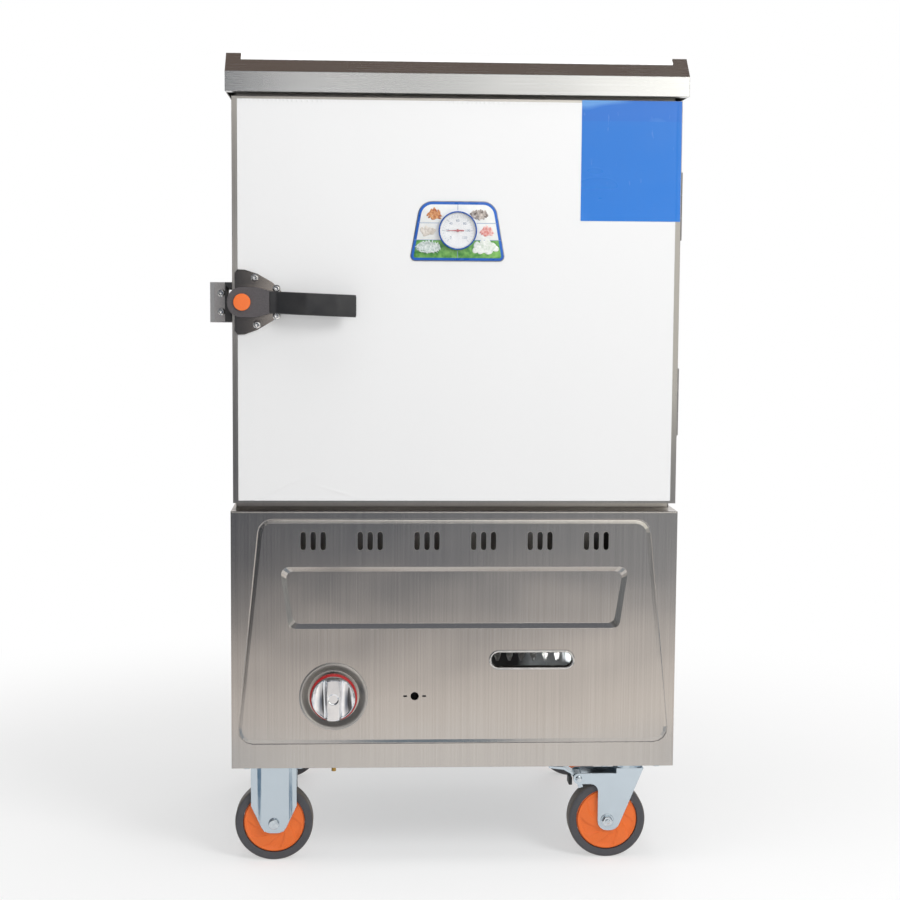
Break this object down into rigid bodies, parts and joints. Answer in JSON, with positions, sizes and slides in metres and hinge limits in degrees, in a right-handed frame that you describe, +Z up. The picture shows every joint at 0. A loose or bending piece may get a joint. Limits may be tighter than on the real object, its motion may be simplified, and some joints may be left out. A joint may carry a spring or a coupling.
{
  "type": "gas rice steamer cabinet",
  "caption": "Insulated steam cabinet with a side-hung door over a gas-fired base with a water tank, float box and flue hood, on fixed and braked swivel casters.",
  "frame": {"origin": "on the floor, under the middle of the whole cabinet's box", "axes": "+Z up, the door and the knob face -Y, +X towards the hinges"},
  "size_m": [0.743, 0.7342, 1.276],
  "materials": {
    "brushed_stainless": "stainless sheet with fine straight brushing",
    "dark_stainless": "dark polished stainless sheet",
    "zinc": "bright zinc plating with a blue tint",
    "galvanised": "galvanised sheet",
    "chrome": "mirror chrome plating",
    "brass": "turned brass",
    "foam": "foamed insulation",
    "white_film": "white protective film with small bubbles",
    "gasket_rubber": "soft silicone rubber",
    "blue_enamel": "printed blue plastic",
    "clear_glass": "clear flat lens",
    "red_plastic": "moulded red plastic",
    "black_plastic": "moulded black plastic",
    "grey_casting": "dark grey lacquered casting",
    "orange_plastic": "moulded orange plastic",
    "grey_tyre": "smooth grey tyre with a worn tread"
  },
  "bodies": {
    "cabinet": {"outer_shell": "brushed_stainless", "inner_liner": "brushed_stainless", "body_insulation": "foam", "roof_cap": "brushed_stainless", "tray_rack_left": "brushed_stainless", "tray_rack_right": "brushed_stainless", "steam_plate": "brushed_stainless", "water_tank": "brushed_stainless", "base_shell": "brushed_stainless", "base_front_panel": "brushed_stainless", "base_floor": "galvanised", "burner": "galvanised", "burner_shield": "galvanised", "gas_valve": "brass", "ignition_tube": "zinc", "flue_hood": "brushed_stainless", "float_box": "brushed_stainless", "float_valve": "brass", "drain_valve": "brass", "keeper_bracket": "dark_stainless", "keeper_striker": "black_plastic", "body_hinge_upper": "brushed_stainless", "body_hinge_lower": "brushed_stainless", "fixed_fork_front": "zinc", "fixed_fork_rear": "zinc", "swivel_plate_front": "zinc", "swivel_plate_rear": "zinc"},
    "door": {"door_outer_pan": "brushed_stainless", "door_inner_pan": "brushed_stainless", "door_insulation": "foam", "door_gasket": "gasket_rubber", "door_film": "white_film", "thermometer_label": "blue_enamel", "thermometer_case": "blue_enamel", "thermometer_lens": "clear_glass", "latch_plate": "dark_stainless", "door_hinge_upper": "brushed_stainless", "door_hinge_lower": "brushed_stainless"},
    "thermometer_hand": {"thermometer_needle": "red_plastic"},
    "latch_lever": {"latch_head": "grey_casting", "latch_grip": "black_plastic", "latch_cap": "orange_plastic"},
    "valve_stem": {"knob_stem": "zinc"},
    "knob": {"gas_knob": "chrome", "knob_skirt": "red_plastic"},
    "float": {"float_arm": "brass"},
    "float_lid": {"float_box_lid": "brushed_stainless"},
    "drain_handle": {"drain_lever": "red_plastic"},
    "front_left_wheel": {"wheel_front_left": "orange_plastic", "tyre_front_left": "grey_tyre"},
    "rear_left_wheel": {"wheel_rear_left": "orange_plastic", "tyre_rear_left": "grey_tyre"},
    "front_swivel": {"swivel_fork_front": "zinc"},
    "rear_swivel": {"swivel_fork_rear": "zinc"},
    "front_right_wheel": {"wheel_front_right": "orange_plastic", "tyre_front_right": "grey_tyre"},
    "rear_right_wheel": {"wheel_rear_right": "orange_plastic", "tyre_rear_right": "grey_tyre"},
    "front_pedal": {"brake_pedal_front": "zinc"},
    "rear_pedal": {"brake_pedal_rear": "zinc"}
  },
  "joints": [
    {"name": "door_hinge", "type": "hinge", "parent": "cabinet", "child": "door", "pos_m": [0.36575, -0.272, 0.8967], "axis": [0, 0, 1], "range_deg": [0, 180]},
    {"name": "thermometer_hand_turn", "type": "hinge", "parent": "door", "child": "thermometer_hand", "pos_m": [0.01375, -0.3293, 1.00773], "axis": [0, 1, 0], "range_deg": [-45, 225]},
    {"name": "latch_lever_turn", "type": "hinge", "parent": "door", "child": "latch_lever", "pos_m": [-0.31575, -0.325, 0.89613], "axis": [0, -1, 0], "range_deg": [0, 90]},
    {"name": "knob_push", "type": "slide", "parent": "cabinet", "child": "valve_stem", "axis": [0, 1, 0], "range_m": [0, 0.003], "stiffness_N_per_m": 3000, "springref_m": -0.002},
    {"name": "knob_turn", "type": "hinge", "parent": "valve_stem", "child": "knob", "pos_m": [-0.1763, -0.325, 0.27865], "axis": [0, -1, 0], "range_deg": [0, 210]},
    {"name": "float_arm_turn", "type": "hinge", "parent": "cabinet", "child": "float", "pos_m": [0.13845, 0.3203, 0.547], "axis": [0, -1, 0], "range_deg": [0, 25]},
    {"name": "float_lid_lift", "type": "slide", "parent": "cabinet", "child": "float_lid", "axis": [0, 0, 1], "range_m": [0, 0.15]},
    {"name": "drain_lever_turn", "type": "hinge", "parent": "cabinet", "child": "drain_handle", "pos_m": [-0.16625, 0.30745, 0.4903], "axis": [0, 0, -1], "range_deg": [0, 90]},
    {"name": "front_left_wheel_roll", "type": "hinge", "parent": "cabinet", "child": "front_left_wheel", "pos_m": [-0.27225, -0.263, 0.0625], "axis": [0, 1, 0], "continuous": true},
    {"name": "rear_left_wheel_roll", "type": "hinge", "parent": "cabinet", "child": "rear_left_wheel", "pos_m": [-0.27225, 0.213, 0.0625], "axis": [0, 1, 0], "continuous": true},
    {"name": "front_swivel_turn", "type": "hinge", "parent": "cabinet", "child": "front_swivel", "pos_m": [0.29975, -0.263, 0.0625], "axis": [0, 0, 1], "continuous": true},
    {"name": "rear_swivel_turn", "type": "hinge", "parent": "cabinet", "child": "rear_swivel", "pos_m": [0.29975, 0.213, 0.0625], "axis": [0, 0, 1], "continuous": true},
    {"name": "front_right_wheel_roll", "type": "hinge", "parent": "front_swivel", "child": "front_right_wheel", "pos_m": [0.26575, -0.263, 0.0625], "axis": [0, 1, 0], "continuous": true},
    {"name": "rear_right_wheel_roll", "type": "hinge", "parent": "rear_swivel", "child": "rear_right_wheel", "pos_m": [0.26575, 0.213, 0.0625], "axis": [0, 1, 0], "continuous": true},
    {"name": "front_pedal_press", "type": "hinge", "parent": "front_swivel", "child": "front_pedal", "pos_m": [0.21875, -0.263, 0.1315], "axis": [0, -1, 0], "range_deg": [0, 18]},
    {"name": "rear_pedal_press", "type": "hinge", "parent": "rear_swivel", "child": "rear_pedal", "pos_m": [0.21875, 0.213, 0.1315], "axis": [0, -1, 0], "range_deg": [0, 18]}
  ]
}
